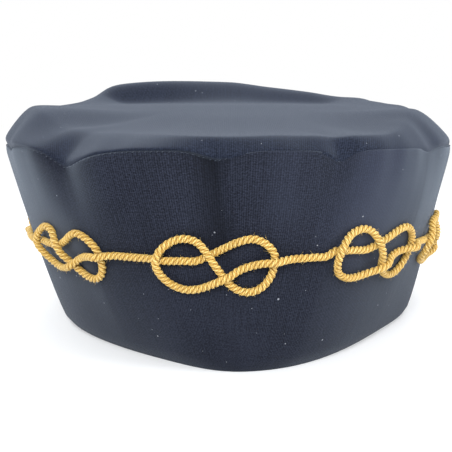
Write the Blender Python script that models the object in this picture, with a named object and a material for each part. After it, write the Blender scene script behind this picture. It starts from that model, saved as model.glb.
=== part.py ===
# A soft ceremonial cap that stands on its rim: a flared cloth band, a puffed cloth top and one gold
# cord that is sewn round the band and tied in a flat love knot at even steps.
# Metres, +Z up. The rim's cut edge lies in z = 0 and the front faces -Y. A place round the hat is a
# turn in degrees from the front, positive towards +X.

import bpy
import bmesh
import numpy as np
from mathutils import Vector

# Driving dimensions of the band
rim_width = 0.1758
rim_front = 0.1044          # from the widest line to the front
rim_back = 0.1000           # from the widest line to the back
seam_width = 0.2097
seam_front = 0.1112
seam_back = 0.1080
seam_forward = 0.0039       # how far the seam oval leans to the front of the rim oval
seam_aside = -0.0018        # and how far it leans to +X
band_height = 0.0861
band_bulge = 0.0006         # how far the wall bows out between rim and seam
band_wall = 0.0025
rim_wave = 0.0040           # how far the rim's line strays at most from its oval
seam_turn_in = 0.0007       # how far both cloths turn in where they are sewn together
pucker_depth = 0.0045       # how far the deepest pucker draws the band in at the seam
pucker_drop = 0.0068        # how far the deepest pucker draws the seam down
pucker_nip = 0.35           # how much of the top's rolled edge the deepest pucker takes away

# Driving dimensions of the top
top_wall = 0.0020
top_rise = 0.0170           # height of the puffed edge above the seam, where it is highest
top_climb = 0.0132          # how much higher the middle lies than the front edge
fold_height = 0.0125        # how far the fold across the back stands above the top
roll_out = 0.0010           # how far the rolled edge stands out past the seam

# Driving dimensions of the cord
cord_diameter = 0.0032
knot_width = 0.0460
knot_height = 0.0208
cord_height = 0.0450        # height of the cord's straight stretches in front

# Where the rim's middle stands, so that the whole hat's box is centred on the origin
rim_middle_x = 0.0006
rim_middle_y = 0.0038

# Clearance between pieces that touch
seam_gap = 0.0003
cord_gap = 0.0004

# How square the two ovals are: 1 is an ellipse, less is squarer, more is more pointed
rim_squareness_front = 1.27
rim_squareness_back = 1.00
seam_squareness_front = 0.78
seam_squareness_back = 0.95
shape_lead = 0.53           # below 1 the wall takes the seam's form early on its way up

# Facets
turns_round = 96
band_rows = 6
stretch_points = 3
cord_sides_resolution = 1
points_round_hat = 720
sharp_angle = 50.0          # degrees between two faces past which the edge stays crisp
edge_share = 0.985          # where the outer face ends and turns in to the seam

# Steps at which a direction on the band is read
turn_step = 1.5             # degrees
share_step = 0.02           # share of the band's height

# Puckers that the top seam pulls into the cloth. turn and spread are degrees; depth, drop and reach
# are shares of pucker_depth, pucker_drop and band_height.
puckers = (
    {"turn": -1.0, "spread": 4.6, "depth": 0.55, "drop": 0.50, "reach": 0.75},
    {"turn": 18.5, "spread": 4.4, "depth": 0.75, "drop": 0.65, "reach": 0.35},
    {"turn": 47.0, "spread": 6.0, "depth": 0.40, "drop": 0.25, "reach": 0.30},
    {"turn": 76.0, "spread": 5.5, "depth": 0.60, "drop": 0.45, "reach": 0.40},
    {"turn": 104.0, "spread": 6.5, "depth": 0.80, "drop": 0.70, "reach": 0.45},
    {"turn": 131.0, "spread": 5.5, "depth": 0.60, "drop": 0.60, "reach": 0.35},
    {"turn": 160.0, "spread": 6.0, "depth": 0.85, "drop": 0.70, "reach": 0.50},
    {"turn": 187.0, "spread": 6.5, "depth": 0.70, "drop": 0.60, "reach": 0.40},
    {"turn": 214.0, "spread": 5.0, "depth": 0.80, "drop": 0.75, "reach": 0.45},
    {"turn": 243.0, "spread": 6.0, "depth": 0.60, "drop": 0.55, "reach": 0.35},
    {"turn": 271.0, "spread": 5.5, "depth": 0.70, "drop": 0.50, "reach": 0.45},
    {"turn": 299.0, "spread": 5.0, "depth": 0.40, "drop": 0.25, "reach": 0.30},
    {"turn": 328.0, "spread": 5.5, "depth": 1.00, "drop": 1.00, "reach": 0.45},
)

# Where the soft rim strays from its oval: out is a share of rim_wave, outwards if positive.
rim_waves = (
    {"turn": -180, "out": 0.00},
    {"turn": -130, "out": 0.00},
    {"turn": -85, "out": -0.70},
    {"turn": -60, "out": -0.15},
    {"turn": -28, "out": -0.60},
    {"turn": -4, "out": 0.00},
    {"turn": 20, "out": 0.60},
    {"turn": 56, "out": -0.45},
    {"turn": 85, "out": 0.60},
    {"turn": 130, "out": 0.00},
    {"turn": 180, "out": 0.00},
)

# The puffed edge of the top round the hat. rise is a share of top_rise, inset a share of the way
# from the seam to the middle at which the edge has risen that far.
edge_heights = (
    {"turn": -180, "rise": 1.00, "inset": 0.17},
    {"turn": -130, "rise": 1.00, "inset": 0.15},
    {"turn": -90, "rise": 1.00, "inset": 0.12},
    {"turn": -62, "rise": 0.96, "inset": 0.11},
    {"turn": -34, "rise": 0.32, "inset": 0.04},
    {"turn": 0, "rise": 0.31, "inset": 0.03},
    {"turn": 30, "rise": 0.30, "inset": 0.04},
    {"turn": 60, "rise": 0.84, "inset": 0.18},
    {"turn": 90, "rise": 1.00, "inset": 0.23},
    {"turn": 130, "rise": 1.00, "inset": 0.19},
    {"turn": 180, "rise": 1.00, "inset": 0.17},
)

# Rings of the top from the seam to the middle. edge is the share of the puffed edge's rise, out the
# share of roll_out, inset the share of the puffed edge's own inset, and middle the share of the way
# from that edge to the middle.
top_rings = (
    {"edge": 0.00, "out": 0.00, "inset": 0.00, "middle": 0.00},
    {"edge": 0.20, "out": 1.00, "inset": 0.08, "middle": 0.00},
    {"edge": 0.52, "out": 0.90, "inset": 0.36, "middle": 0.00},
    {"edge": 0.82, "out": 0.20, "inset": 0.68, "middle": 0.00},
    {"edge": 1.00, "out": 0.00, "inset": 1.00, "middle": 0.00},
    {"edge": 1.00, "out": 0.00, "inset": 1.00, "middle": 0.14},
    {"edge": 1.00, "out": 0.00, "inset": 1.00, "middle": 0.30},
    {"edge": 1.00, "out": 0.00, "inset": 1.00, "middle": 0.44},
    {"edge": 1.00, "out": 0.00, "inset": 1.00, "middle": 0.58},
    {"edge": 1.00, "out": 0.00, "inset": 1.00, "middle": 0.74},
    {"edge": 1.00, "out": 0.00, "inset": 1.00, "middle": 0.90},
)

# How the top climbs from front to back. along runs from -1 at the front seam over 0 at the middle to
# 1 at the back seam, and climb is a share of top_climb.
top_slope = (
    {"along": -1.00, "climb": 0.00},
    {"along": -0.70, "climb": 0.28},
    {"along": -0.35, "climb": 0.58},
    {"along": 0.00, "climb": 0.92},
    {"along": 0.30, "climb": 1.00},
    {"along": 1.00, "climb": 0.90},
)

# The fold across the back of the top. across is a share of the seam's half width and height a share
# of fold_height.
fold_profile = (
    {"across": -0.94, "height": 0.00},
    {"across": -0.88, "height": 0.24},
    {"across": -0.78, "height": 0.47},
    {"across": -0.71, "height": 0.83},
    {"across": -0.55, "height": 0.93},
    {"across": -0.33, "height": 1.00},
    {"across": 0.00, "height": 0.96},
    {"across": 0.19, "height": 0.75},
    {"across": 0.43, "height": 0.54},
    {"across": 0.56, "height": 0.38},
    {"across": 0.72, "height": 0.36},
    {"across": 0.84, "height": 0.10},
    {"across": 0.92, "height": 0.00},
)
edge_ease = 0.60            # how far the puckers have faded where the rolled edge is highest
pucker_fade = 0.32          # the share of the way to the middle at which the puckers have faded
settle_reach = 0.60         # the share at which the puffed edge has settled into the top's slope
fold_place = 0.36           # the fold's crest, as a share of seam_back behind the widest line
fold_front = 0.14           # length of its steep front, as a share of seam_back
fold_tail = 0.55            # length of its long back slope, as a share of seam_back

# Knots round the band. place is a share of the way round at the cord's height, from the front and
# positive towards +X; level is a share of cord_height.
knot_places = (
    {"place": -0.0065, "level": 1.005},
    {"place": 0.0962, "level": 1.045},
    {"place": 0.1915, "level": 0.995},
    {"place": 0.3035, "level": 0.975},
    {"place": 0.4155, "level": 0.985},
    {"place": 0.5275, "level": 0.975},
    {"place": 0.6395, "level": 0.985},
    {"place": 0.7515, "level": 0.985},
    {"place": 0.8915, "level": 1.025},
)

# One knot's route from left to right. along is a share of knot_width from the knot's middle, up a
# share of knot_height, and over is 1 where the cord passes over an earlier stretch of itself.
knot_route = (
    {"along": -0.50, "up": 0.04, "over": 0},
    {"along": -0.40, "up": 0.03, "over": 0},
    {"along": -0.29, "up": 0.03, "over": 0},
    {"along": -0.19, "up": 0.02, "over": 0},
    {"along": -0.11, "up": 0.07, "over": 0},
    {"along": -0.03, "up": 0.14, "over": 0},
    {"along": 0.06, "up": 0.23, "over": 0},
    {"along": 0.15, "up": 0.34, "over": 0},
    {"along": 0.26, "up": 0.41, "over": 0},
    {"along": 0.36, "up": 0.33, "over": 0},
    {"along": 0.44, "up": 0.13, "over": 0},
    {"along": 0.45, "up": -0.09, "over": 0},
    {"along": 0.43, "up": -0.31, "over": 0},
    {"along": 0.37, "up": -0.49, "over": 0},
    {"along": 0.28, "up": -0.57, "over": 0},
    {"along": 0.18, "up": -0.54, "over": 0},
    {"along": 0.09, "up": -0.42, "over": 0.1},
    {"along": 0.03, "up": -0.24, "over": 0.45},
    {"along": -0.03, "up": -0.02, "over": 1},
    {"along": -0.09, "up": 0.19, "over": 0.75},
    {"along": -0.16, "up": 0.36, "over": 0.1},
    {"along": -0.26, "up": 0.43, "over": 0},
    {"along": -0.37, "up": 0.36, "over": 0.1},
    {"along": -0.45, "up": 0.22, "over": 0.7},
    {"along": -0.49, "up": 0.03, "over": 1},
    {"along": -0.48, "up": -0.20, "over": 0.6},
    {"along": -0.42, "up": -0.40, "over": 0.1},
    {"along": -0.32, "up": -0.50, "over": 0},
    {"along": -0.21, "up": -0.50, "over": 0},
    {"along": -0.10, "up": -0.43, "over": 0.3},
    {"along": 0.00, "up": -0.33, "over": 1},
    {"along": 0.08, "up": -0.26, "over": 1},
    {"along": 0.17, "up": -0.16, "over": 0.2},
    {"along": 0.27, "up": -0.08, "over": 0.1},
    {"along": 0.37, "up": -0.02, "over": 0.6},
    {"along": 0.45, "up": 0.00, "over": 1},
    {"along": 0.52, "up": 0.02, "over": 0.5},
)


def shade(obj, colour, roughness, metallic):
    """One plain finish for a sub-part."""
    material = bpy.data.materials.new(obj.name)
    material.use_nodes = True
    shader = material.node_tree.nodes["Principled BSDF"]
    shader.inputs["Base Color"].default_value = (*colour, 1.0)
    shader.inputs["Roughness"].default_value = roughness
    shader.inputs["Metallic"].default_value = metallic
    obj.data.materials.append(material)


def smooth_step(value):
    """0 below 0, 1 above 1 and a soft ramp between them."""
    value = np.clip(value, 0.0, 1.0)
    return value * value * (3.0 - 2.0 * value)


def column(table, name):
    return np.array([row[name] for row in table], float)


def round_table(table, turn, name):
    """A column of a table with turns, read smoothly round the hat."""
    turn = (np.asarray(turn, float) + 180.0) % 360.0 - 180.0
    places = column(table, "turn")
    values = column(table, name)
    after = np.clip(np.searchsorted(places, turn, side="right"), 1, len(places) - 1)
    share = (turn - places[after - 1]) / (places[after] - places[after - 1])
    return values[after - 1] + (values[after] - values[after - 1]) * smooth_step(share)


def unit_oval(turn, squareness_front, squareness_back):
    """A point of an oval one wide and one long each way from its middle, with its own squareness."""
    angle = np.radians(turn)
    forward = smooth_step((1.0 + np.cos(angle)) / 2.0)
    power = squareness_back + (squareness_front - squareness_back) * forward
    x = np.sign(np.sin(angle)) * np.abs(np.sin(angle)) ** power
    y = -np.sign(np.cos(angle)) * np.abs(np.cos(angle)) ** power
    return np.stack([x, y], -1)


def half_sizes(turn, width, front, back):
    """Half the width, and the length of the half that the turn lies in."""
    length = np.where(np.cos(np.radians(turn)) > 0.0, front, back)
    return np.stack([np.full_like(length, width / 2.0), length], -1)


def rim_middle():
    return np.array([rim_middle_x, rim_middle_y])


def seam_middle():
    return rim_middle() + np.array([seam_aside, -seam_forward])


def pucker_shares(turn):
    """How much each pucker is felt at a turn, from 0 to 1: a narrow dent with soft shoulders."""
    turn = np.asarray(turn, float)[..., None]
    away = (turn - column(puckers, "turn") + 180.0) % 360.0 - 180.0
    return np.exp(-((away / column(puckers, "spread")) ** 2))


def seam_height(turn):
    """Height of the band's upper edge, which each pucker draws down."""
    return band_height - pucker_drop * (pucker_shares(turn) * column(puckers, "drop")).sum(-1)


def outward(turn, share):
    """The level outward direction of the band at a turn, for a share of its height."""
    ahead = band_plan(turn + turn_step, share)
    behind = band_plan(turn - turn_step, share)
    along = ahead - behind
    normal = np.stack([along[..., 1], -along[..., 0]], -1)
    return normal / np.linalg.norm(normal, axis=-1, keepdims=True)


def band_plan(turn, share):
    """The band's section at a share of its height, before its dents."""
    share = np.asarray(share, float)[..., None]
    lead = share**shape_lead
    rim_form = unit_oval(turn, rim_squareness_front, rim_squareness_back)
    seam_form = unit_oval(turn, seam_squareness_front, seam_squareness_back)
    rim_size = half_sizes(turn, rim_width, rim_front, rim_back)
    seam_size = half_sizes(turn, seam_width, seam_front, seam_back)
    form = rim_form * (1.0 - lead) + seam_form * lead
    size = rim_size * (1.0 - share) + seam_size * share
    return form * size + rim_middle() * (1.0 - share) + seam_middle() * share


def band_point(turn, share):
    """A point on the band's outer face."""
    turn = np.asarray(turn, float)
    share = np.broadcast_to(np.asarray(share, float), turn.shape)
    below_seam = (1.0 - share)[..., None] / column(puckers, "reach")
    dents = pucker_shares(turn) * column(puckers, "depth") * (1.0 - smooth_step(below_seam))
    wave = rim_wave * round_table(rim_waves, turn, "out") * (1.0 - smooth_step(share))
    out = band_bulge * np.sin(np.pi * share) - pucker_depth * dents.sum(-1) + wave
    level = band_plan(turn, share) + outward(turn, share) * out[..., None]
    return np.concatenate([level, (seam_height(turn) * share)[..., None]], -1)


def moved_level(points, turn, share, distance):
    """Points of the band moved level outwards."""
    moved = points.copy()
    moved[..., :2] += outward(turn, share) * distance
    return moved


def ring_normals(rings):
    """Unit normals of a grid of rings that rise from the first to the last, pointing outwards."""
    round_hat = np.roll(rings, -1, axis=1) - np.roll(rings, 1, axis=1)
    upward = np.gradient(rings, axis=0)
    normals = np.cross(round_hat, upward)
    return normals / np.linalg.norm(normals, axis=-1, keepdims=True)


def ring_mesh(name, rings, outer_middle=None, inner_middle=None):
    """A closed body from rings of points, each joined to the next. With two middles the rings run
    from the outer middle to the inner one, and otherwise the last ring joins the first."""
    count = len(rings[0])
    shape = bmesh.new()
    rows = [[shape.verts.new(point) for point in ring] for ring in rings]
    pairs = list(zip(rows, rows[1:]))
    if outer_middle is None:
        pairs.append((rows[-1], rows[0]))
    for lower, upper in pairs:
        for i in range(count):
            j = (i + 1) % count
            shape.faces.new((lower[i], lower[j], upper[j], upper[i]))
    if outer_middle is not None:
        first = shape.verts.new(outer_middle)
        last = shape.verts.new(inner_middle)
        for i in range(count):
            j = (i + 1) % count
            shape.faces.new((first, rows[0][j], rows[0][i]))
            shape.faces.new((last, rows[-1][i], rows[-1][j]))
    bmesh.ops.recalc_face_normals(shape, faces=shape.faces)
    mesh = bpy.data.meshes.new(name)
    shape.to_mesh(mesh)
    shape.free()
    mesh.shade_smooth()
    mesh.set_sharp_from_angle(angle=np.radians(sharp_angle))
    obj = bpy.data.objects.new(name, mesh)
    bpy.context.collection.objects.link(obj)
    return obj


def all_turns():
    return np.arange(turns_round) * 360.0 / turns_round


def make_band():
    """The side wall: out up the outer face, over the seam edge and down the inner face."""
    turn = all_turns()
    flare = np.arctan2((seam_width - rim_width) / 2.0, band_height)
    level_wall = band_wall / np.cos(flare)
    shares = np.linspace(0.0, 1.0, band_rows)
    shares[-1] = edge_share
    outer = [band_point(turn, share) for share in shares]
    inner = [moved_level(ring, turn, share, -level_wall) for ring, share in zip(outer, shares)]
    edge = band_point(turn, 1.0)
    outer_edge = moved_level(edge, turn, 1.0, -seam_turn_in)
    inner_edge = moved_level(edge, turn, 1.0, -level_wall)
    rings = outer + [outer_edge, inner_edge] + inner[::-1]
    band = ring_mesh("band", rings)
    shade(band, (0.014, 0.017, 0.028), 0.85, 0.0)
    return band


def fold_rise(x, y):
    """Height of the fold across the back of the top: a steep front and a long back slope."""
    across = (x - rim_middle_x) / (seam_width / 2.0)
    height = np.interp(across, column(fold_profile, "across"), column(fold_profile, "height"))
    crest = fold_place * seam_back + seam_middle()[1]
    front = smooth_step((y - crest) / (fold_front * seam_back) + 1.0)
    back = 1.0 - smooth_step((y - crest) / (fold_tail * seam_back))
    return fold_height * height * front * back


def top_ring(turn, row):
    """One ring of the top's outer face."""
    seam = moved_level(band_point(turn, 1.0), turn, 1.0, -seam_turn_in + row["out"] * roll_out)
    middle = seam_middle()
    edge_inset = round_table(edge_heights, turn, "inset") * row["inset"]
    inset = edge_inset + (1.0 - edge_inset) * row["middle"]
    easing = np.maximum(smooth_step(inset / pucker_fade), edge_ease * row["edge"])
    line = seam[..., :2] + (band_plan(turn, 1.0) - seam[..., :2]) * easing[..., None]
    level = middle + (line - middle) * (1.0 - inset)[..., None]
    nip = pucker_nip * (pucker_shares(turn) * column(puckers, "depth")).sum(-1) * (1.0 - easing)
    rise = top_rise * round_table(edge_heights, turn, "rise") * (1.0 - nip)
    front_rise = top_rise * round_table(edge_heights, 0.0, "rise")
    settle = smooth_step(row["middle"] / settle_reach)
    base = seam[..., 2] * (1.0 - row["edge"]) + band_height * row["edge"]
    along = (level[..., 1] - middle[1]) / np.where(level[..., 1] < middle[1], seam_front, seam_back)
    climb = front_rise + top_climb * np.interp(along, column(top_slope, "along"), column(top_slope, "climb"))
    height = base + seam_gap + rise * row["edge"] * (1.0 - settle) + climb * row["edge"] * settle
    height = height + fold_rise(level[..., 0], level[..., 1])
    return np.concatenate([level, height[..., None]], -1)


def make_top():
    """The puffed top: one sheet of cloth from the seam up and over to the middle."""
    turn = all_turns()
    outer = np.array([top_ring(turn, row) for row in top_rings])
    inner = outer - top_wall * ring_normals(outer)
    inner[0, :, 2] = outer[0, :, 2]
    inner[0, :, :2] = moved_level(outer[0], turn, 1.0, -top_wall)[:, :2]
    outer_middle = outer[-1].mean(axis=0)
    inner_middle = outer_middle - Vector((0.0, 0.0, top_wall))
    rings = list(outer[::-1]) + list(inner)
    top = ring_mesh("top_panel", rings, outer_middle, inner_middle)
    shade(top, (0.020, 0.024, 0.038), 0.80, 0.0)
    return top


def cord_share():
    """The share of the band's height at which the cord's straight stretches run in front."""
    return cord_height / band_height


def way_round():
    """Turns and the way along the band at the cord's height, measured from the front."""
    turn = np.linspace(-180.0, 180.0, points_round_hat + 1)
    line = band_point(turn, cord_share())
    steps = np.linalg.norm(np.diff(line, axis=0), axis=1)
    way = np.concatenate([[0.0], np.cumsum(steps)])
    return turn, way - np.interp(0.0, turn, way)


def on_band(turn, height, off):
    """A point off the band's outer face, with the direction taken across the face."""
    share = height / seam_height(turn)
    point = band_point(turn, share)
    beside = band_point(turn + turn_step, share) - band_point(turn - turn_step, share)
    above = band_point(turn, share + share_step) - band_point(turn, share - share_step)
    normal = np.cross(beside, above)
    normal = normal / np.linalg.norm(normal, axis=-1, keepdims=True)
    return point + normal * off[..., None]


def cord_line():
    """The cord's centre line round the band, knot by knot, and back to where it began."""
    turn, way = way_round()
    length = way[-1] - way[0]
    over_lift = cord_diameter + cord_gap
    rows = []
    places = list(knot_places) + [dict(knot_places[0], place=knot_places[0]["place"] + 1.0)]
    for here, following in zip(places, places[1:]):
        stretch = (following["place"] - here["place"]) * length / knot_width - 1.0
        first, last = knot_route[0], knot_route[-1]
        between = np.linspace(last["along"], first["along"] + stretch + 1.0, stretch_points + 2)[1:-1]
        straight = [{"along": along, "up": last["up"], "over": 0} for along in between]
        for row in list(knot_route) + straight:
            at = here["place"] * length + row["along"] * knot_width
            share = (at / length - here["place"]) / (following["place"] - here["place"])
            level = here["level"] + (following["level"] - here["level"]) * share
            rows.append((at, level * cord_height + row["up"] * knot_height, row["over"] * over_lift))
    rows = np.array(rows)
    wrapped = (rows[:, 0] - way[0]) % length + way[0]
    turns = np.interp(wrapped, way, turn)
    off = cord_diameter / 2.0 + cord_gap + rows[:, 2]
    return on_band(turns, rows[:, 1], off)


def make_cord():
    """The cord as one closed tube along its line."""
    curve = bpy.data.curves.new("gold_cord", "CURVE")
    curve.dimensions = "3D"
    curve.bevel_depth = cord_diameter / 2.0
    curve.bevel_resolution = cord_sides_resolution
    spline = curve.splines.new("POLY")
    points = cord_line()
    spline.points.add(len(points) - 1)
    for target, point in zip(spline.points, points):
        target.co = (*point, 1.0)
    spline.use_cyclic_u = True
    cord = bpy.data.objects.new("gold_cord", curve)
    bpy.context.collection.objects.link(cord)
    shade(cord, (0.76, 0.42, 0.07), 0.55, 0.0)
    return cord


def main():
    for obj in list(bpy.data.objects):
        bpy.data.objects.remove(obj, do_unlink=True)
    make_band()
    make_top()
    make_cord()


main()
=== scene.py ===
import math

import bpy
import numpy as np
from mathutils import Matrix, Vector


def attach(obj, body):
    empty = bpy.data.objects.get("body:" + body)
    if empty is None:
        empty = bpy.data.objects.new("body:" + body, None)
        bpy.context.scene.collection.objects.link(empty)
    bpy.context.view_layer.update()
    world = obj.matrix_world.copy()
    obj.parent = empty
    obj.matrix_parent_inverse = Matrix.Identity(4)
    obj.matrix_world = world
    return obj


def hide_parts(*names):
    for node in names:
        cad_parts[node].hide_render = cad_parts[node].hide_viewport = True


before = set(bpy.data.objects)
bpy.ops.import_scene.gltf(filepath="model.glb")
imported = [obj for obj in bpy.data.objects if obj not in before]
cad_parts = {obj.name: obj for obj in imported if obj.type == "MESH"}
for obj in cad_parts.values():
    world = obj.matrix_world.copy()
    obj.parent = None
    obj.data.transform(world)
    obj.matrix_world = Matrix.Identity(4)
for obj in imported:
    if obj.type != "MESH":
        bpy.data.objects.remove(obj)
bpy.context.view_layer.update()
bpy.ops.object.select_all(action="DESELECT")


# camera, floor and light

camera = {"place": (0.0006, -0.3662, 0.0982), "lens": 56.97, "lookDown": 8.72, "shift": -0.0138}

studio = {
    "floorColour": (0.72, 0.73, 0.74), "floorGlow": 0.30, "fadeFrom": 0.35, "fadeTo": 1.1,
    "wallColour": (1.0, 1.0, 1.0),
    "skyColour": (0.84, 0.91, 1.0), "skyStrength": 0.40,
    "lights": (
        {"name": "overhead", "place": (0.0, 0.20, 1.00), "size": (1.6, 1.0), "power": 9.0, "aim": 0.08},
        {"name": "leftPanel", "place": (-0.95, 0.20, 0.60), "size": (0.5, 0.8), "power": 3.2, "aim": 0.12},
        {"name": "rightPanel", "place": (0.90, -0.40, 0.55), "size": (0.5, 0.8), "power": 7.0, "aim": 0.12},
        {"name": "frontFill", "place": (-0.15, -1.15, 0.75), "size": (0.4, 0.5), "power": 15.0, "aim": 0.05},
    ),
}


def aimAt(thing, target):
    thing.rotation_euler = (Vector(target) - thing.location).to_track_quat("-Z", "Y").to_euler()


def makeCamera():
    bpy.ops.object.camera_add(location=camera["place"])
    thing = bpy.context.object
    thing.rotation_euler = (math.radians(90.0 - camera["lookDown"]), 0.0, 0.0)
    thing.data.lens = camera["lens"]
    thing.data.sensor_width = 36.0
    thing.data.shift_x = camera["shift"]
    thing.data.clip_start = 0.01
    thing.data.clip_end = 20.0
    bpy.context.scene.camera = thing


def makeLights():
    for row in studio["lights"]:
        bpy.ops.object.light_add(type="AREA", location=row["place"])
        lamp = bpy.context.object
        lamp.name = row["name"]
        lamp.data.shape = "RECTANGLE"
        lamp.data.size, lamp.data.size_y = row["size"]
        lamp.data.energy = row["power"]
        aimAt(lamp, (0.0, 0.0, row["aim"]))
    # the room: a soft dim sky for the light, and a pale wall where nothing stands
    world = bpy.data.worlds.new("studio")
    world.use_nodes = True
    tree = world.node_tree
    sky = tree.nodes["Background"]
    sky.inputs["Color"].default_value = (*studio["skyColour"], 1.0)
    sky.inputs["Strength"].default_value = studio["skyStrength"]
    wall = tree.nodes.new("ShaderNodeBackground")
    wall.inputs["Color"].default_value = (*studio["wallColour"], 1.0)
    rays = tree.nodes.new("ShaderNodeLightPath")
    either = tree.nodes.new("ShaderNodeMixShader")
    tree.links.new(rays.outputs["Is Camera Ray"], either.inputs[0])
    tree.links.new(sky.outputs[0], either.inputs[1])
    tree.links.new(wall.outputs[0], either.inputs[2])
    tree.links.new(either.outputs[0], tree.nodes["World Output"].inputs["Surface"])
    bpy.context.scene.world = world
    bpy.context.scene.view_settings.view_transform = "Standard"


# shader maths

class Wire:
    # a socket that takes plain maths
    def __init__(self, finish, socket):
        self.finish = finish
        self.socket = socket

    def maths(self, operation, *values):
        return self.finish.add("ShaderNodeMath", {"operation": operation}, dict(enumerate(values)))

    def __add__(self, other):
        return self.maths("ADD", self, other)

    def __radd__(self, other):
        return self.maths("ADD", other, self)

    def __sub__(self, other):
        return self.maths("SUBTRACT", self, other)

    def __rsub__(self, other):
        return self.maths("SUBTRACT", other, self)

    def __mul__(self, other):
        return self.maths("MULTIPLY", self, other)

    def __truediv__(self, other):
        return self.maths("DIVIDE", self, other)

    def __abs__(self):
        return self.maths("ABSOLUTE", self)

    def __gt__(self, other):
        return self.maths("GREATER_THAN", self, other)

    def most(self, other):
        return self.maths("MAXIMUM", self, other)

    def sine(self):
        return self.maths("SINE", self)

    def cosine(self):
        return self.maths("COSINE", self)

    def beside(self, output):
        # another output of the same node
        return Wire(self.finish, self.socket.node.outputs[output])


class Finish:
    # one material and the nodes that make it
    def __init__(self, name):
        self.material = bpy.data.materials.new(name)
        self.material.use_nodes = True
        self.tree = self.material.node_tree
        self.shader = self.tree.nodes["Principled BSDF"]

    def add(self, kind, settings=None, inputs=None, output=0):
        node = self.tree.nodes.new(kind)
        for key, value in (settings or {}).items():
            setattr(node, key, value)
        for key, value in (inputs or {}).items():
            self.feed(node.inputs[key], value)
        return Wire(self, node.outputs[output])

    def feed(self, socket, value):
        if isinstance(value, Wire):
            self.tree.links.new(value.socket, socket)
        elif isinstance(value, tuple) and len(value) == 3 and socket.type == "RGBA":
            socket.default_value = (*value, 1.0)
        else:
            socket.default_value = value

    def place(self, mapName):
        where = self.add("ShaderNodeUVMap", {"uv_map": mapName})
        parts = self.add("ShaderNodeSeparateXYZ", None, {0: where})
        return parts, parts.beside(1)

    def point(self, x, y, z=0.0):
        return self.add("ShaderNodeCombineXYZ", None, {0: x, 1: y, 2: z})

    def noise(self, where, scale, detail=2.0, roughness=0.5):
        inputs = {"Vector": where, "Scale": scale, "Detail": detail, "Roughness": roughness}
        return self.add("ShaderNodeTexNoise", None, inputs)

    def soft(self, value, low, high):
        inputs = {"Value": value, "From Min": low, "From Max": high}
        return self.add("ShaderNodeMapRange", {"interpolation_type": "SMOOTHSTEP"}, inputs)

    def blend(self, share, first, second):
        return self.add("ShaderNodeMix", {"data_type": "RGBA"}, {0: share, 6: first, 7: second}, 2)

    def bump(self, height, distance):
        return self.add("ShaderNodeBump", None, {"Height": height, "Distance": distance, "Strength": 1.0})

    def done(self, **sockets):
        for key, value in sockets.items():
            self.feed(self.shader.inputs[key.replace("_", " ")], value)
        return self.material


# the hat's form, in metres; a place round it is a turn in degrees from the front

hat = {
    "rimWidth": 0.1758, "rimFront": 0.1044, "rimBack": 0.1000,
    "seamWidth": 0.2097, "seamFront": 0.1112, "seamBack": 0.1080,
    "seamForward": 0.0039, "seamAside": -0.0018,
    "height": 0.0861, "bulge": 0.0006, "rimWave": 0.0040,
    "middle": (0.0006, 0.0038),
    "rimSquareness": (1.27, 1.00), "seamSquareness": (0.78, 0.95), "lead": 0.53,
    "puckerDepth": 0.0030, "puckerDrop": 0.0068,
}

puckers = (  # spread, before and after are degrees; depth, drop and reach are shares of their hat sizes
    {"turn": -1.0, "spread": 4.6, "depth": 0.55, "drop": 0.50, "reach": 0.75, "before": 2.6, "after": 2.4},
    {"turn": 18.5, "spread": 4.4, "depth": 0.75, "drop": 0.65, "reach": 0.35, "before": 3.0, "after": 3.0},
    {"turn": 47.0, "spread": 6.0, "depth": 0.40, "drop": 0.25, "reach": 0.30, "before": 4.0, "after": 4.0},
    {"turn": 76.0, "spread": 5.5, "depth": 0.60, "drop": 0.45, "reach": 0.40, "before": 4.0, "after": 5.0},
    {"turn": 104.0, "spread": 6.5, "depth": 0.80, "drop": 0.70, "reach": 0.45, "before": 5.0, "after": 4.0},
    {"turn": 131.0, "spread": 5.5, "depth": 0.60, "drop": 0.60, "reach": 0.35, "before": 4.0, "after": 5.0},
    {"turn": 160.0, "spread": 6.0, "depth": 0.85, "drop": 0.70, "reach": 0.50, "before": 5.0, "after": 4.0},
    {"turn": 187.0, "spread": 6.5, "depth": 0.70, "drop": 0.60, "reach": 0.40, "before": 4.0, "after": 6.0},
    {"turn": 214.0, "spread": 5.0, "depth": 0.80, "drop": 0.75, "reach": 0.45, "before": 4.0, "after": 3.5},
    {"turn": 243.0, "spread": 6.0, "depth": 0.60, "drop": 0.55, "reach": 0.35, "before": 4.0, "after": 5.0},
    {"turn": 271.0, "spread": 5.5, "depth": 0.70, "drop": 0.50, "reach": 0.45, "before": 4.0, "after": 5.0},
    {"turn": 299.0, "spread": 5.0, "depth": 0.40, "drop": 0.25, "reach": 0.30, "before": 4.0, "after": 4.0},
    {"turn": 328.0, "spread": 5.5, "depth": 1.00, "drop": 1.00, "reach": 0.45, "before": 5.5, "after": 8.5},
)

seamDepths = (  # depth is a share of how far both cloths roll in to the seam
    {"turn": -180, "depth": 1.00}, {"turn": -50, "depth": 0.90}, {"turn": -34, "depth": 0.60},
    {"turn": -14, "depth": 0.75}, {"turn": -3, "depth": 0.80}, {"turn": 4, "depth": 0.05},
    {"turn": 36, "depth": 0.05}, {"turn": 60, "depth": 0.70}, {"turn": 180, "depth": 1.00},
)

rimWaves = (  # out is a share of rimWave
    {"turn": -180, "out": 0.00}, {"turn": -130, "out": 0.00}, {"turn": -85, "out": -0.70},
    {"turn": -60, "out": -0.15}, {"turn": -28, "out": -0.60}, {"turn": -4, "out": 0.00},
    {"turn": 20, "out": 0.60}, {"turn": 56, "out": -0.45}, {"turn": 85, "out": 0.60},
    {"turn": 130, "out": 0.00}, {"turn": 180, "out": 0.00},
)


def smoothStep(value):
    value = np.clip(value, 0.0, 1.0)
    return value * value * (3.0 - 2.0 * value)


def unit(vectors):
    return vectors / np.linalg.norm(vectors, axis=-1, keepdims=True)


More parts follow.
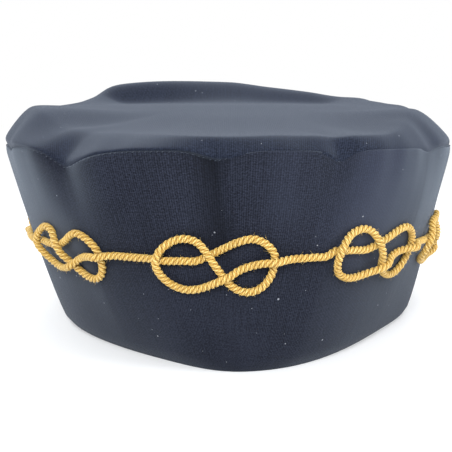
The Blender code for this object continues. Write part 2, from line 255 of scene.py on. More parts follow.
def column(table, name):
    return np.array([row[name] for row in table], float)


def roundTable(table, turn, name):
    turn = (np.asarray(turn, float) + 180.0) % 360.0 - 180.0
    places = column(table, "turn")
    values = column(table, name)
    after = np.clip(np.searchsorted(places, turn, side="right"), 1, len(places) - 1)
    share = (turn - places[after - 1]) / (places[after] - places[after - 1])
    return values[after - 1] + (values[after] - values[after - 1]) * smoothStep(share)


def smoothBetween(before, here, after, later, t):
    # a share t of the way from here to after, on a curve that heeds their neighbours
    bend = (2 * before - 5 * here + 4 * after - later) * t**2
    bend = bend + (3 * here - before - 3 * after + later) * t**3
    return here + 0.5 * ((after - before) * t + bend)


def smoothColumn(table, name, at):
    # a column read along its rows on a smooth curve
    values = column(table, name)
    values = np.concatenate([[2 * values[0] - values[1]], values, [2 * values[-1] - values[-2]]])
    at = np.clip(at, 0.0, len(table) - 1.0)
    k = np.minimum(at.astype(int), len(table) - 2)
    t = at - k
    return smoothBetween(values[k], values[k + 1], values[k + 2], values[k + 3], t)


def waves(turn, seed, first, last):
    # an even mix of waves that closes on itself round the hat, between about -1 and 1
    dice = np.random.default_rng(seed)
    total = np.zeros_like(np.asarray(turn, float))
    for count in range(first, last + 1):
        total = total + dice.uniform(0.4, 1.0) * np.cos(np.radians(turn) * count + dice.uniform(0, 2 * np.pi))
    return total / np.sqrt(last - first + 1.0)


def unitOval(turn, squareness):
    angle = np.radians(turn)
    forward = smoothStep((1.0 + np.cos(angle)) / 2.0)
    power = squareness[1] + (squareness[0] - squareness[1]) * forward
    x = np.sign(np.sin(angle)) * np.abs(np.sin(angle)) ** power
    y = -np.sign(np.cos(angle)) * np.abs(np.cos(angle)) ** power
    return np.stack([x, y], -1)


def halfSizes(turn, width, front, back):
    length = np.where(np.cos(np.radians(turn)) > 0.0, front, back)
    return np.stack([np.full_like(length, width / 2.0), length], -1)


def rimMiddle():
    return np.array(hat["middle"])


def seamMiddle():
    return rimMiddle() + np.array([hat["seamAside"], -hat["seamForward"]])


def bandPlan(turn, share):
    share = np.asarray(share, float)[..., None]
    lead = np.clip(share, 0.0, None) ** hat["lead"]
    form = unitOval(turn, hat["rimSquareness"]) * (1.0 - lead) + unitOval(turn, hat["seamSquareness"]) * lead
    rimSize = halfSizes(turn, hat["rimWidth"], hat["rimFront"], hat["rimBack"])
    seamSize = halfSizes(turn, hat["seamWidth"], hat["seamFront"], hat["seamBack"])
    size = rimSize * (1.0 - share) + seamSize * share
    return form * size + rimMiddle() * (1.0 - share) + seamMiddle() * share


def outward(turn, share):
    along = bandPlan(turn + 1.5, share) - bandPlan(turn - 1.5, share)
    return unit(np.stack([along[..., 1], -along[..., 0]], -1))


def puckerAway(turn):
    turn = np.asarray(turn, float)[..., None]
    return (turn - column(puckers, "turn") + 180.0) % 360.0 - 180.0


def puckerShares(turn):
    return np.exp(-((puckerAway(turn) / column(puckers, "spread")) ** 2))


def seamHeight(turn):
    # the seam dips more narrowly than the cloth dents, and not evenly on both sides
    away = puckerAway(turn)
    width = np.where(away < 0.0, column(puckers, "before"), column(puckers, "after"))
    dips = np.exp(-(np.abs(away / width) ** 1.6))
    return hat["height"] - hat["puckerDrop"] * (dips * column(puckers, "drop")).sum(-1)


def bandBase(turn, share):
    turn = np.asarray(turn, float)
    share = np.broadcast_to(np.asarray(share, float), turn.shape)
    belowSeam = (1.0 - share)[..., None] / column(puckers, "reach")
    dents = puckerShares(turn) * column(puckers, "depth") * (1.0 - smoothStep(belowSeam))
    wave = hat["rimWave"] * roundTable(rimWaves, turn, "out") * (1.0 - smoothStep(share))
    out = hat["bulge"] * np.sin(np.pi * share) - hat["puckerDepth"] * dents.sum(-1) + wave
    level = bandPlan(turn, share) + outward(turn, share) * out[..., None]
    return np.concatenate([level, (seamHeight(turn) * share)[..., None]], -1)


# pieces

def newPiece(name, vertices, faces, mapName=None, places=None):
    mesh = bpy.data.meshes.new(name)
    mesh.from_pydata(vertices, [], faces)
    if mapName is not None:
        layer = mesh.uv_layers.new(name=mapName)
        layer.data.foreach_set("uv", np.array(places, np.float32).ravel())
    mesh.shade_smooth()
    mesh.update()
    thing = bpy.data.objects.new(name, mesh)
    bpy.context.collection.objects.link(thing)
    return thing


def sheetMesh(name, rings, maps, middles=(), shades=None):
    # rings of points joined to a wall, which is closed where it has no middles; maps gives each ring's
    # place on the flat cloth, with one more column than the ring so that the pattern closes on itself
    rings = np.asarray(rings, float)
    maps = np.asarray(maps, float)
    rows, count = rings.shape[:2]
    vertices = rings.reshape(-1, 3).tolist()
    faces = []
    places = []
    for r in range(rows - 1 if middles else rows):
        s = (r + 1) % rows
        for i in range(count):
            j = (i + 1) % count
            faces.append((r * count + i, r * count + j, s * count + j, s * count + i))
            places.extend((maps[r, i], maps[r, i + 1], maps[s, i + 1], maps[s, i]))
    # an open wall ends at a middle point inside its first ring and at one inside its last
    for ring, (point, where) in zip((0, rows - 1), middles):
        corner = len(vertices)
        vertices.append(list(point))
        for i in range(count):
            a, b = (i + 1, i) if ring == 0 else (i, i + 1)
            faces.append((corner, ring * count + a % count, ring * count + b % count))
            places.extend((where, maps[ring, a], maps[ring, b]))
    thing = newPiece(name, vertices, faces, "cloth", places)
    if shades is not None:
        shade = thing.data.attributes.new("shade", "FLOAT", "POINT")
        shade.data.foreach_set("value", np.asarray(shades, np.float32).ravel())
    return thing


def surfaceArea(thing):
    return sum(face.area for face in thing.data.polygons)


def lengthsAlong(points, axis):
    steps = np.linalg.norm(np.diff(points, axis=axis), axis=-1)
    start = np.zeros_like(np.take(steps, [0], axis=axis))
    return np.concatenate([start, np.cumsum(steps, axis=axis)], axis=axis)


def ringNormals(rings):
    roundHat = np.roll(rings, -1, axis=1) - np.roll(rings, 1, axis=1)
    return unit(np.cross(roundHat, np.gradient(rings, axis=0)))


# cloth

cloth = {
    "warp": 0.00080, "weft": 0.00060, "weaveHeight": 0.00012,
    "patches": 28.0,   # how many lighter and darker patches a metre holds
    "paintedSheenFrom": 0.12, "paintedSheenLow": 0.22,
    "lint": (0.30, 0.32, 0.36), "lintStep": 0.0045, "lintSize": 0.095, "lintRare": 0.35, "lintStrength": 0.8,
    "roughness": 0.80, "sheen": 0.10, "sheenRoughness": 0.35, "sheenTint": (0.78, 0.86, 1.0),
    "specular": 0.15,
}


def clothFinish(name, threads, navy, dustyAndLit, paintedSheen, paintedSheenRise=None):
    # threads: how many of them the flat cloth has to a metre, along and up; the last argument: where up the
    # cloth the painted sheen begins and ends to grow to full strength
    finish = Finish(name)
    along, up = finish.place("cloth")
    x = along * threads[0]
    y = up * threads[1]
    warp = (x * math.pi).sine()
    weft = (y * math.pi).sine()
    crossing = warp * weft
    over = abs(warp) * (0.65 + crossing * 0.35)
    height = over.most(abs(weft) * (0.55 - crossing * 0.35))
    warpTone = finish.noise(finish.point(x * 0.9, y * 0.03), 1.0, 2.0, 0.6)
    weftTone = finish.noise(finish.point(x * 0.03, y * 0.9), 1.0, 2.0, 0.6)
    grain = finish.noise(finish.point(x, y), 0.9, 1.0, 0.5)
    broad = finish.noise(finish.point(along, up), cloth["patches"], 3.0, 0.55)
    tone = finish.soft(warpTone * 0.20 + weftTone * 0.12 + grain * 0.50 + broad * 0.18, 0.38, 0.62)
    # the threads' own tone varies at random; the raised threads are painted lighter and the gaps between them
    # painted darker, as painted shade
    colour = finish.blend(tone * 0.50 + (height - 0.45) * 0.75, navy, dustyAndLit)
    # painted shade of the folds, creases and dents, which is below zero where painted light makes the cloth
    # paler
    shade = finish.add("ShaderNodeAttribute", {"attribute_name": "shade"}, None, 2)
    colour = finish.blend(finish.soft(shade, 0.0, 1.0), colour, tuple(0.5 * c for c in navy))
    # painted light: the colour turns paler where the shade attribute is below zero
    colour = finish.blend(finish.soft(0.0 - shade, 0.0, 1.0) * 0.5, colour, tuple(1.5 * c for c in dustyAndLit))
    cells = {"Vector": finish.point(along, up), "Scale": 1.0 / cloth["lintStep"], "Randomness": 1.0}
    away = finish.add("ShaderNodeTexVoronoi", {"feature": "F1"}, cells)
    pick = finish.add("ShaderNodeSeparateColor", None, {0: away.beside("Color")})
    speck = (pick * cloth["lintSize"] > away) * (pick.beside(1) > cloth["lintRare"])
    colour = finish.blend(speck * cloth["lintStrength"], colour, cloth["lint"])
    # painted sheen: the colour turns paler where the cloth is seen at a glancing angle
    facing = finish.add("ShaderNodeLayerWeight", None, {"Blend": 0.5}, 1)
    paintedSheenShare = finish.soft(facing, cloth["paintedSheenFrom"], 1.0)
    # the painted sheen is weaker low down on the band and grows to full strength higher up
    if paintedSheenRise is not None:
        paintedSheenShare = paintedSheenShare * (cloth["paintedSheenLow"] + finish.soft(up, *paintedSheenRise) * (1.0 - cloth["paintedSheenLow"]))
    colour = finish.blend(paintedSheenShare, colour, paintedSheen)
    slub = finish.noise(finish.point(x * 0.25, y * 0.012), 1.0, 2.0, 0.5)
    relief = height + slub * 1.2 + broad * 1.5
    rough = cloth["roughness"] + (tone - 0.5) * 0.12
    finish.done(Sheen_Weight=cloth["sheen"], Sheen_Roughness=cloth["sheenRoughness"],
                Sheen_Tint=cloth["sheenTint"], Specular_IOR_Level=cloth["specular"])
    return finish.done(Base_Color=colour, Roughness=rough, Normal=finish.bump(relief, cloth["weaveHeight"]))


# band

band = {
    "wall": 0.0025, "turns": 1200, "rowsOut": 46, "rowsEdge": 13, "rowsIn": 12, "hemRows": 5,
    "patternRow": 20, "innerDrop": 0.0004,   # the row that spaces the weave; how low the inner wall ends
    "lightPatchTurn": 31.0, "lightPatchSpread": 13.0,   # a patch of painted light, to the front right
    "edgeRoll": 0.0014, "edgeDepth": 0.060,   # how far, and over what share, the cloth rolls in at the seam
    "gather": 0.00014, "gatherFade": 0.010,
    "soft": 0.0006, "lobe": 0.0005,
    "swell": 0.0012, "swellTurn": 8.5, "swellSpread": 5.0,
    "shoulder": 0.0016, "shoulderDepth": 0.14,   # where the seam is faint, the cloth rounds in to it slowly
    "crease": 0.0036, "creaseTurn": -1.3, "creaseLean": 1.5, "creaseSteep": 1.0, "creaseSoft": 3.2,
    "creaseEnd": 0.36, "creaseFade": 0.35,
    "footTurn": -5.5, "footSpread": 4.0, "footShare": 0.60, "footTall": 0.06, "footDepth": 0.35,
    # how strongly painted shade darkens the crease, its foot and the dents, and how strongly painted light
    # makes the swell and a patch paler
    "creaseShade": 0.52, "footShade": 0.42, "dentShade": 0.28, "swellShade": -0.35, "lightPatchShade": -0.90,
    "navy": (0.0026, 0.0039, 0.0090), "dustyAndLit": (0.0308, 0.0366, 0.0580),
    # the colour of the painted sheen, and the height over which it grows
    "paintedSheen": (0.106, 0.126, 0.155), "paintedSheenHeight": 0.075,
}


def creaseShares(turn, share):
    # the upright crease in front, with a soft slope on its left and a steep one on its right, the
    # swell beside it and the small dent at its foot
    beside = turn - (1.0 - share) * band["creaseLean"] - band["creaseTurn"]
    beside = (beside + 180.0) % 360.0 - 180.0
    width = np.where(beside < 0.0, band["creaseSoft"], band["creaseSteep"]) * (1.0 + 0.7 * (1.0 - share))
    crease = np.exp(-(np.abs(beside / width) ** 1.5))
    crease = crease * smoothStep((share - band["creaseEnd"]) / band["creaseFade"])
    swell = np.exp(-(((beside - band["swellTurn"]) / band["swellSpread"]) ** 2))
    swell = swell * smoothStep((share - 0.5) / 0.3)
    footAside = (beside - band["footTurn"]) / band["footSpread"]
    footAbove = (share - band["footShare"]) / band["footTall"]
    return crease, swell, np.exp(-(footAside**2) - footAbove**2)


def bandRelief(turn, share):
    # what the cloth does on top of its plain form: it puffs between the puckers, ripples below
    # the seam, waves softly further down and rolls in to the seam
    below = (1.0 - share) * hat["height"]
    away = puckerAway(turn) / column(puckers, "spread")
    fade = 1.0 - smoothStep((1.0 - share)[..., None] / column(puckers, "reach") / 0.9)
    lobes = (np.exp(-((np.abs(away) - 1.9) / 0.8) ** 2) * column(puckers, "depth") * fade).sum(-1)
    uneven = 0.55 + 0.45 * waves(turn, seed=8, first=2, last=6)
    ripples = waves(turn, seed=5, first=26, last=60) * uneven * np.exp(-below / band["gatherFade"])
    leaning = waves(turn + 30.0 * share, seed=11, first=3, last=9)
    soft = leaning * np.sin(np.pi * np.clip(share, 0, 1) * 0.85 + 0.25)
    into = np.clip((share - 1.0 + band["edgeDepth"]) / band["edgeDepth"], 0.0, 1.0)
    roll = (1.0 - np.sqrt(np.clip(1.0 - into**2, 0.0, 1.0))) * roundTable(seamDepths, turn, "depth")
    crease, swell, foot = creaseShares(turn, share)
    shoulder = np.clip((share - 1.0 + band["shoulderDepth"]) / band["shoulderDepth"], 0.0, 1.0) ** 2
    shoulder = shoulder * (1.0 - roundTable(seamDepths, turn, "depth"))
    out = band["lobe"] * lobes + band["gather"] * ripples + band["soft"] * soft + band["swell"] * swell
    out = out - band["crease"] * crease - band["edgeRoll"] * roll
    return out - band["footDepth"] * band["crease"] * foot - band["shoulder"] * shoulder


def bandFace(turn, share):
    turn = np.asarray(turn, float)
    share = np.broadcast_to(np.asarray(share, float), turn.shape)
    point = bandBase(turn, share)
    point[..., :2] += outward(turn, share) * bandRelief(turn, share)[..., None]
    return point


def makeBand():
    turn = np.arange(band["turns"]) * 360.0 / band["turns"]
    wallShares = np.linspace(0.0, 1.0 - band["edgeDepth"], band["rowsOut"] - band["rowsEdge"] + 1)[:-1]
    edgeShares = 1.0 - band["edgeDepth"] * np.cos(np.linspace(0.0, math.pi / 2, band["rowsEdge"]))
    shares = np.concatenate([wallShares, edgeShares])
    outer = np.array([bandFace(turn, share) for share in shares])
    hem = band["wall"] / 2.0
    rimOut = outward(turn, 0.0)
    # the hem turns round the rim on a half circle
    bends = np.linspace(math.pi, 0.0, band["hemRows"] + 2)[1:-1]
    rimRings = []
    for bend in bends:
        ring = outer[0].copy()
        ring[:, :2] += rimOut * (hem * (math.cos(bend) - 1.0))
        ring[:, 2] = hem * (1.0 - math.sin(bend))
        rimRings.append(ring)
    low = max(2, np.searchsorted(outer[:, 0, 2], hem))
    outer = outer[low:]
    lows = shares[low:]
    pick = np.unique(np.linspace(0, len(outer) - 1, band["rowsIn"]).astype(int))
    inner = []
    for k in pick:
        ring = outer[k].copy()
        ring[:, :2] += outward(turn, lows[k]) * (-band["wall"])
        if k == pick[-1]:
            ring[:, 2] -= band["innerDrop"]
        inner.append(ring)
    rings = np.array(list(inner[::-1]) + rimRings + list(outer))
    pattern = outer[band["patternRow"]]
    along = lengthsAlong(np.concatenate([pattern, pattern[:1]]), 0)
    upward = lengthsAlong(rings, 0).mean(1)
    maps = np.stack(np.broadcast_arrays(along[None, :], upward[:, None]), -1)
    # painted shade in the front crease, at its foot and in the pucker dents; painted light on the swell
    shades = np.zeros(rings.shape[:2])
    for r, share in enumerate(lows, len(rings) - len(lows)):
        crease, swell, foot = creaseShares(turn, share)
        dents = (puckerShares(turn) * column(puckers, "depth")).sum(-1) * smoothStep((share - 0.86) / 0.14)
        # painted light on a patch to the front right
        lightPatch = np.exp(-(((turn - band["lightPatchTurn"]) / band["lightPatchSpread"]) ** 2))
        lightPatch = lightPatch * smoothStep((share - 0.35) / 0.3)
        shades[r] = band["creaseShade"] * crease + band["footShade"] * foot + band["dentShade"] * dents
        shades[r] += band["swellShade"] * swell + band["lightPatchShade"] * lightPatch
    thing = sheetMesh("clothBand", rings, maps, shades=shades)
    # an even number of warp threads, so that the weave closes on itself
    threads = (2 * round(along[-1] / cloth["warp"] / 2.0) / along[-1], 1.0 / cloth["weft"])
    rimAt = upward[len(rings) - len(outer)]
    paintedSheenRise = (rimAt, rimAt + band["paintedSheenHeight"])
    looks = clothFinish("bandCloth", threads, band["navy"], band["dustyAndLit"], band["paintedSheen"], paintedSheenRise)
    thing.data.materials.append(looks)
    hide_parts("band")
    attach(thing, "root")
    area = surfaceArea(thing) / 2.0
    print("band: round %.3f m, half surface %.4f m2, %d faces" % (along[-1], area, len(thing.data.polygons)))
    return thing


# top

top = {
    "wall": 0.0020, "rise": 0.0176, "climb": 0.0132, "rollOut": 0.0006, "rollRows": 0.9, "nip": 0.35,
    "foldHeight": 0.0138, "foldPlace": 0.36, "foldFront": 0.095, "foldTail": 0.55, "foldEnds": 0.50,
    "foldLeft": -0.62, "foldRight": 0.52, "foldSoft": 0.15, "foldRound": 1.4, "foldEdge": 0.6,
    "edgeEase": 0.60, "puckerFade": 0.32, "settle": 0.60, "softPasses": 16,
    "turns": 720, "rowsOut": 90, "rowsEdge": 40, "crestRow": 4.0, "rowsIn": 18, "flatRows": 8,
    "seamGap": 0.0001, "overlap": 0.0014, "gather": 0.0005,
    "navy": (0.0028, 0.0048, 0.0120), "dustyAndLit": (0.0290, 0.0375, 0.0640),
    # the top's painted sheen is weaker than the band's, as the top is lit from above
    "paintedSheen": (0.063, 0.074, 0.097),
}

edgeHeights = (  # rise is a share of top's rise, inset a share of the way to the middle
    {"turn": -180, "rise": 1.00, "inset": 0.17}, {"turn": -130, "rise": 1.00, "inset": 0.15},
    {"turn": -90, "rise": 1.00, "inset": 0.12}, {"turn": -62, "rise": 0.96, "inset": 0.12},
    {"turn": -40, "rise": 0.42, "inset": 0.16}, {"turn": -18, "rise": 0.32, "inset": 0.15},
    {"turn": -4, "rise": 0.31, "inset": 0.07}, {"turn": 30, "rise": 0.31, "inset": 0.06},
    {"turn": 60, "rise": 0.88, "inset": 0.15}, {"turn": 90, "rise": 1.00, "inset": 0.19},
    {"turn": 130, "rise": 1.00, "inset": 0.19}, {"turn": 180, "rise": 1.00, "inset": 0.17},
)

topRings = (  # from the seam to the middle: edge is a share of the rise, out one of rollOut, inset one of
    # the row's inset, and middle one of the way that is then left
    {"edge": 0.00, "out": 0.00, "inset": 0.00, "middle": 0.00},
    {"edge": 0.20, "out": 1.00, "inset": 0.08, "middle": 0.00},
    {"edge": 0.52, "out": 0.90, "inset": 0.36, "middle": 0.00},
    {"edge": 0.82, "out": 0.20, "inset": 0.68, "middle": 0.00},
    {"edge": 1.00, "out": 0.00, "inset": 1.00, "middle": 0.00},
    {"edge": 1.00, "out": 0.00, "inset": 1.00, "middle": 0.14},
    {"edge": 1.00, "out": 0.00, "inset": 1.00, "middle": 0.30},
    {"edge": 1.00, "out": 0.00, "inset": 1.00, "middle": 0.44},
    {"edge": 1.00, "out": 0.00, "inset": 1.00, "middle": 0.58},
    {"edge": 1.00, "out": 0.00, "inset": 1.00, "middle": 0.74},
    {"edge": 1.00, "out": 0.00, "inset": 1.00, "middle": 0.90},
    {"edge": 1.00, "out": 0.00, "inset": 1.00, "middle": 0.993},
)

topSlope = (  # along is a share of the way from the middle to the front or the back, climb one of top's climb
    {"along": -1.00, "climb": 0.00}, {"along": -0.70, "climb": 0.28}, {"along": -0.35, "climb": 0.58},
    {"along": 0.00, "climb": 0.92}, {"along": 0.30, "climb": 1.00}, {"along": 1.00, "climb": 0.90},
)

foldProfile = (  # across is a share of half the seam's width, height one of foldHeight
    {"across": -0.94, "height": 0.00}, {"across": -0.82, "height": 0.04}, {"across": -0.76, "height": 0.18},
    {"across": -0.69, "height": 0.76}, {"across": -0.55, "height": 0.93}, {"across": -0.33, "height": 1.00},
    {"across": 0.00, "height": 0.96}, {"across": 0.19, "height": 0.75}, {"across": 0.43, "height": 0.54},
    {"across": 0.56, "height": 0.38}, {"across": 0.70, "height": 0.32}, {"across": 0.81, "height": 0.03},
    {"across": 0.92, "height": 0.00},
)


def foldRise(x, y):
    across = (x - hat["middle"][0]) / (hat["seamWidth"] / 2.0)
    places = column(foldProfile, "across")
    slots = np.interp(across, places, np.arange(len(places)))
    height = np.clip(smoothColumn(foldProfile, "height", slots), 0.0, None)
    crest = top["foldPlace"] * hat["seamBack"] + seamMiddle()[1]
    # the fold stands up from a crisp foot and rounds over at its crest; its ends lie flatter
    leftEnd = smoothStep((top["foldLeft"] - across) / top["foldSoft"])
    ends = leftEnd + smoothStep((across - top["foldRight"]) / top["foldSoft"])
    length = (top["foldFront"] + (top["foldEnds"] - top["foldFront"]) * ends) * hat["seamBack"]
    ahead = np.clip((y - crest) / length + 1.0, 0.0, 1.0)
    front = np.sin(np.pi / 2.0 * ahead) ** top["foldRound"]
    back = 1.0 - smoothStep((y - crest) / (top["foldTail"] * hat["seamBack"]))
    return top["foldHeight"] * height * front * back


def topFace(turn, at):
    edge = np.clip(smoothColumn(topRings, "edge", at), 0.0, 1.0)
    out = smoothColumn(topRings, "out", at)
    ringInset = np.clip(smoothColumn(topRings, "inset", at), 0.0, 1.0)
    toMiddle = np.clip(smoothColumn(topRings, "middle", at), 0.0, 1.0)
    edgeInset = roundTable(edgeHeights, turn, "inset")
    depth = roundTable(seamDepths, turn, "depth")
    seam = bandFace(turn, np.ones_like(turn))
    puffed = depth * (out * top["rollOut"] + band["edgeRoll"] * smoothStep(at / top["rollRows"]))
    seam[..., :2] += outward(turn, 1.0) * puffed[..., None]
    middle = seamMiddle()
    inset = edgeInset * ringInset + (1.0 - edgeInset) * toMiddle
    easing = np.maximum(smoothStep(inset / top["puckerFade"]), top["edgeEase"] * edge)
    line = seam[..., :2] + (bandPlan(turn, np.ones_like(turn)) - seam[..., :2]) * easing[..., None]
    level = middle + (line - middle) * (1.0 - inset)[..., None]
    nip = top["nip"] * (puckerShares(turn) * column(puckers, "depth")).sum(-1) * (1.0 - easing)
    rise = top["rise"] * roundTable(edgeHeights, turn, "rise") * (1.0 - nip)
    frontRise = top["rise"] * roundTable(edgeHeights, 0.0, "rise")
    settle = smoothStep(toMiddle / top["settle"])
    base = seam[..., 2] * (1.0 - edge) + hat["height"] * edge
    ahead = level[..., 1] - middle[1]
    along = ahead / np.where(ahead < 0.0, hat["seamFront"], hat["seamBack"])
    slots = np.interp(along, column(topSlope, "along"), np.arange(len(topSlope)))
    climb = frontRise + top["climb"] * smoothColumn(topSlope, "climb", slots)
    # where the seam is faint, the top's edge covers it
    gap = top["seamGap"] - top["overlap"] * (1.0 - depth) * (1.0 - edge)
    height = base + gap + rise * edge * (1.0 - settle) + climb * edge * settle
    height = height + foldRise(level[..., 0], level[..., 1]) * smoothStep(edge / top["foldEdge"])
    return np.concatenate([level, height[..., None]], -1)


def makeTop():
    turn = np.arange(top["turns"]) * 360.0 / top["turns"]
    edgeSteps = np.linspace(0.0, top["crestRow"], top["rowsEdge"])[:-1]
    flatSteps = np.linspace(top["crestRow"], len(topRings) - 1.0, top["rowsOut"] - top["rowsEdge"] + 1)
    steps = np.concatenate([edgeSteps, flatSteps])
    outer = np.array([topFace(turn, np.full_like(turn, at)) for at in steps])
    for _ in range(top["softPasses"]):  # rounds the crest and the middle, and leaves the seam as it is
        across = np.roll(outer[-1:], top["turns"] // 2, axis=1)
        outer[2:] = (outer[1:-1] + 2.0 * outer[2:] + np.concatenate([outer[3:], across])) / 4.0
    normals = ringNormals(outer)
    normals[-top["flatRows"]:] = (0.0, 0.0, 1.0)
    ripple = waves(turn, seed=21, first=22, last=48) * (0.5 + 0.5 * waves(turn, seed=23, first=2, last=6))
    fade = smoothStep(steps) * (1.0 - smoothStep((steps - 1.5) / 4.0))
    outer = outer + normals * (top["gather"] * ripple * fade[:, None])[..., None]
    pick = np.unique(np.linspace(0, len(outer) - 1, top["rowsIn"]).astype(int))
    inner = (outer - top["wall"] * normals)[pick]
    inner[0, :, 2] = outer[0, :, 2]
    inner[0, :, :2] = outer[0, :, :2] - outward(turn, 1.0) * top["wall"]
    rings = np.concatenate([outer[::-1], inner])
    outerMiddle = outer[-1].mean(axis=0)
    innerMiddle = outerMiddle - np.array([0.0, 0.0, top["wall"]])
    rest = np.linalg.norm(outer[-1] - outerMiddle, axis=-1)
    reach = lengthsAlong(outer[::-1], 0) + rest[None, :]
    reach = np.concatenate([reach, reach[::-1][pick]])
    reach = np.concatenate([reach, reach[:, :1]], axis=1)
    plan = unit(rings[..., :2] - outerMiddle[:2])
    maps = reach[..., None] * np.concatenate([plan, plan[:, :1]], axis=1)
    middles = ((outerMiddle, (0.0, 0.0)), (innerMiddle, (0.0, 0.0)))
    thing = sheetMesh("clothTop", rings, maps, middles)
    threads = (1.0 / cloth["warp"], 1.0 / cloth["weft"])
    thing.data.materials.append(clothFinish("topCloth", threads, top["navy"], top["dustyAndLit"], top["paintedSheen"]))
    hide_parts("top_panel")
    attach(thing, "root")
    print("top: half surface %.4f m2, %d faces" % (surfaceArea(thing) / 2.0, len(thing.data.polygons)))
    return thing


# stitches

stitch = {
    "step": 0.0022, "stray": 0.0003, "length": 0.0010, "thickness": 0.00026, "slant": 0.0004,
    "below": 0.0004, "proud": 0.00002, "showFrom": 0.5,   # the seam's depth from which they show
    "sides": 6, "parts": 5, "colour": (0.042, 0.052, 0.075),
}


def tube(centre, normal, radii, sides):
    # the points of one round thread along centre, with faces; its ends close by their radii
    ahead = unit(np.gradient(centre, axis=0))
    side = unit(np.cross(ahead, normal))
    up = np.cross(side, ahead)
    bend = 2.0 * np.pi * np.arange(sides) / sides
    ring = np.cos(bend)[None, :, None] * up[:, None, :] + np.sin(bend)[None, :, None] * side[:, None, :]
    points = (centre[:, None, :] + ring * radii[:, None, None]).reshape(-1, 3)
    faces = []
    for r in range(len(centre) - 1):
        for k in range(sides):
            j = (k + 1) % sides
            faces.append((r * sides + k, r * sides + j, (r + 1) * sides + j, (r + 1) * sides + k))
    faces.append(tuple(range(sides))[::-1])
    faces.append(tuple((len(centre) - 1) * sides + k for k in range(sides)))
    return points, faces


def threadMesh(name, tubes, material):
    vertices, faces = [], []
    for points, own in tubes:
        start = len(vertices)
        vertices.extend(points.tolist())
        faces.extend(tuple(start + k for k in face) for face in own)
    thing = newPiece(name, vertices, faces)
    thing.data.materials.append(material)
    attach(thing, "root")
    print("%s: %d threads, %d faces" % (name, len(tubes), len(faces)))
    return thing


def makeStitches():
    # short stitches of the top's seam, which show where the seam is open to the eye
    dense = np.linspace(-180.0, 180.0, 3601)
    way = lengthsAlong(bandFace(dense, np.ones_like(dense)), 0)
    count = int(way[-1] / stitch["step"])
    tubes = []
    dice = np.random.default_rng(4)
    for k in range(count):
        middle = (k + 0.5) * way[-1] / count + dice.uniform(-stitch["stray"], stitch["stray"])
        ends = middle + stitch["length"] * np.linspace(-0.5, 0.5, stitch["parts"])
        turn = np.interp(ends, way, dense)
        if roundTable(seamDepths, turn[2], "depth") < stitch["showFrom"]:
            continue
        below = stitch["below"] + stitch["slant"] * np.linspace(0.5, -0.5, stitch["parts"])
        share = 1.0 - below / hat["height"]
        normal = bandNormal(turn, share)
        arch = np.sin(np.linspace(0.0, np.pi, stitch["parts"]))
        radii = stitch["thickness"] / 2.0 * (0.35 + 0.65 * arch)
        centre = bandFace(turn, share) + normal * (stitch["proud"] + radii * arch * 0.6)[:, None]
        tubes.append(tube(centre, normal, radii, stitch["sides"]))
    look = Finish("stitchThread").done(Base_Color=stitch["colour"], Roughness=0.7)
    return threadMesh("seamStitches", tubes, look)


# cord

cord = {
    "diameter": 0.0032, "knotWidth": 0.0460, "knotHeight": 0.0208, "height": 0.0450,
    "lift": 0.0027, "off": 0.0014, "plies": 3, "plyRadius": 0.00072, "plyOff": 0.00083,
    "lay": 0.0060, "stepsPerLay": 12, "sides": 8, "yarn": 0.0016, "relief": 0.00014,
    # the last two colours are the darkest and palest fibre colours, which also carry painted shade and
    # painted highlight
    "gold": (0.70, 0.44, 0.085), "darkFibreAndShade": (0.36, 0.18, 0.020), "paleFibreAndHighlight": (0.92, 0.72, 0.30),
}

knotPlaces = (  # place is a share of the way round from the front, level a share of the cord's height;
    # size is a share of the knot's sizes, for the one that is tied smaller
    {"place": -0.0065, "level": 1.005}, {"place": 0.0962, "level": 1.045},
    {"place": 0.1905, "level": 0.995}, {"place": 0.3035, "level": 0.975},
    {"place": 0.4155, "level": 0.985}, {"place": 0.5275, "level": 0.975},
    {"place": 0.6395, "level": 0.985}, {"place": 0.7515, "level": 0.985},
    {"place": 0.8925, "level": 1.025, "size": 0.91},
)

